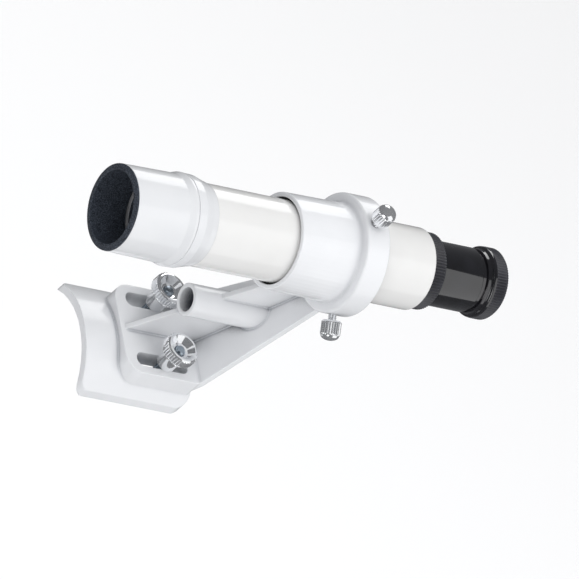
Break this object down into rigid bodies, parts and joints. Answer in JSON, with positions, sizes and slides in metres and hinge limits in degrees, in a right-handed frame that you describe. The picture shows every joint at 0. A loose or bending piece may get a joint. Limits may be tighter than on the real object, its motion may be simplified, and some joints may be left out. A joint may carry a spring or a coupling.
{
  "type": "finder scope",
  "caption": "Small refracting finder telescope in a curved-foot bracket with alignment screws, a rubber pivot ring and a focusing eyepiece.",
  "frame": {"origin": "crest of the telescope tube that the foot sits on, midway between the two mounting bolts", "axes": "+Y along the optical axis from objective to eyepiece, +Z from the telescope tube up to the finder, +X across"},
  "size_m": [0.0548, 0.1622, 0.1132],
  "materials": {
    "bracket_white": "glossy cool white moulding",
    "cell_white": "glossy cool white paint",
    "tube_ivory": "glossy warm white paint",
    "matte_black": "matte black",
    "gloss_black": "polished black",
    "knurled_black": "satin black with fine knurling",
    "rubber_black": "soft black rubber",
    "chrome_plate": "bright nickel plate",
    "lens_glass": "clear glass",
    "spacer_foil": "thin bright foil",
    "reticle_wire": "fine dark wire"
  },
  "bodies": {
    "bracket": {"bracket": "bracket_white"},
    "pivot_ring": {"pivot_o_ring": "rubber_black"},
    "scope": {"main_tube": "tube_ivory", "dew_shield": "cell_white", "dew_shield_liner": "matte_black", "objective_cell": "cell_white", "objective_front_lens": "lens_glass", "objective_rear_lens": "lens_glass", "lens_spacer_foil": "spacer_foil", "objective_retaining_ring": "matte_black", "aperture_stop": "matte_black", "eyepiece_socket": "matte_black"},
    "lock_ring": {"focus_lock_ring": "knurled_black"},
    "eyepiece": {"eyepiece_barrel": "gloss_black", "eyepiece_cap": "gloss_black", "field_stop": "matte_black", "crosshair": "reticle_wire", "field_lens_retaining_ring": "matte_black", "field_lens": "lens_glass", "eyepiece_spacer": "matte_black", "eye_lens": "lens_glass"},
    "align_top": {"alignment_screw_top": "chrome_plate"},
    "align_left": {"alignment_screw_left": "chrome_plate"},
    "align_right": {"alignment_screw_right": "chrome_plate"},
    "bolt_left": {"mounting_bolt_left": "chrome_plate"},
    "bolt_right": {"mounting_bolt_right": "chrome_plate"},
    "nut_left": {"thumb_nut_left": "chrome_plate"},
    "nut_right": {"thumb_nut_right": "chrome_plate"}
  },
  "joints": [
    {"name": "scope_yaw", "type": "hinge", "parent": "bracket", "child": "pivot_ring", "pos_m": [0, 0.0047, 0.0723], "axis": [0, 0, 1], "range_deg": [-1.2, 1.2]},
    {"name": "scope_pitch", "type": "hinge", "parent": "pivot_ring", "child": "scope", "pos_m": [0, 0.0047, 0.0723], "axis": [1, 0, 0], "range_deg": [-1.2, 1.2]},
    {"name": "align_top_travel", "type": "slide", "parent": "bracket", "child": "align_top", "axis": [0, 0, 1], "range_m": [-0.00058, 0.00058]},
    {"name": "align_left_travel", "type": "slide", "parent": "bracket", "child": "align_left", "axis": [-0.866, 0, -0.5], "range_m": [-0.0005, 0.0005]},
    {"name": "align_right_travel", "type": "slide", "parent": "bracket", "child": "align_right", "axis": [0.866, 0, -0.5], "range_m": [-0.0005, 0.0005]},
    {"name": "focus_travel", "type": "slide", "parent": "scope", "child": "eyepiece", "axis": [0, 1, 0], "range_m": [-0.006, 0.004]},
    {"name": "lock_ring_turn", "type": "hinge", "parent": "scope", "child": "lock_ring", "pos_m": [0, 0.0652, 0.0723], "axis": [0, 1, 0], "continuous": true},
    {"name": "bolt_left_travel", "type": "slide", "parent": "bracket", "child": "bolt_left", "axis": [0, 1, 0], "range_m": [-0.009, 0.0065]},
    {"name": "bolt_right_travel", "type": "slide", "parent": "bracket", "child": "bolt_right", "axis": [0, 1, 0], "range_m": [-0.009, 0.0065]},
    {"name": "nut_left_turn", "type": "hinge", "parent": "bolt_left", "child": "nut_left", "pos_m": [-0.0122, 0, 0.012], "axis": [0, 0, 1], "continuous": true},
    {"name": "nut_right_turn", "type": "hinge", "parent": "bolt_right", "child": "nut_right", "pos_m": [0.0122, 0, 0.012], "axis": [0, 0, 1], "continuous": true}
  ],
  "couplings": [
    {"joint": "align_top_travel", "follows": "scope_pitch", "m_per_rad": 0.027},
    {"joint": "align_left_travel", "follows": "scope_yaw", "m_per_rad": 0.02338},
    {"joint": "align_right_travel", "follows": "scope_yaw", "m_per_rad": -0.02338},
    {"joint": "bolt_right_travel", "follows": "bolt_left_travel", "ratio": 1}
  ]
}
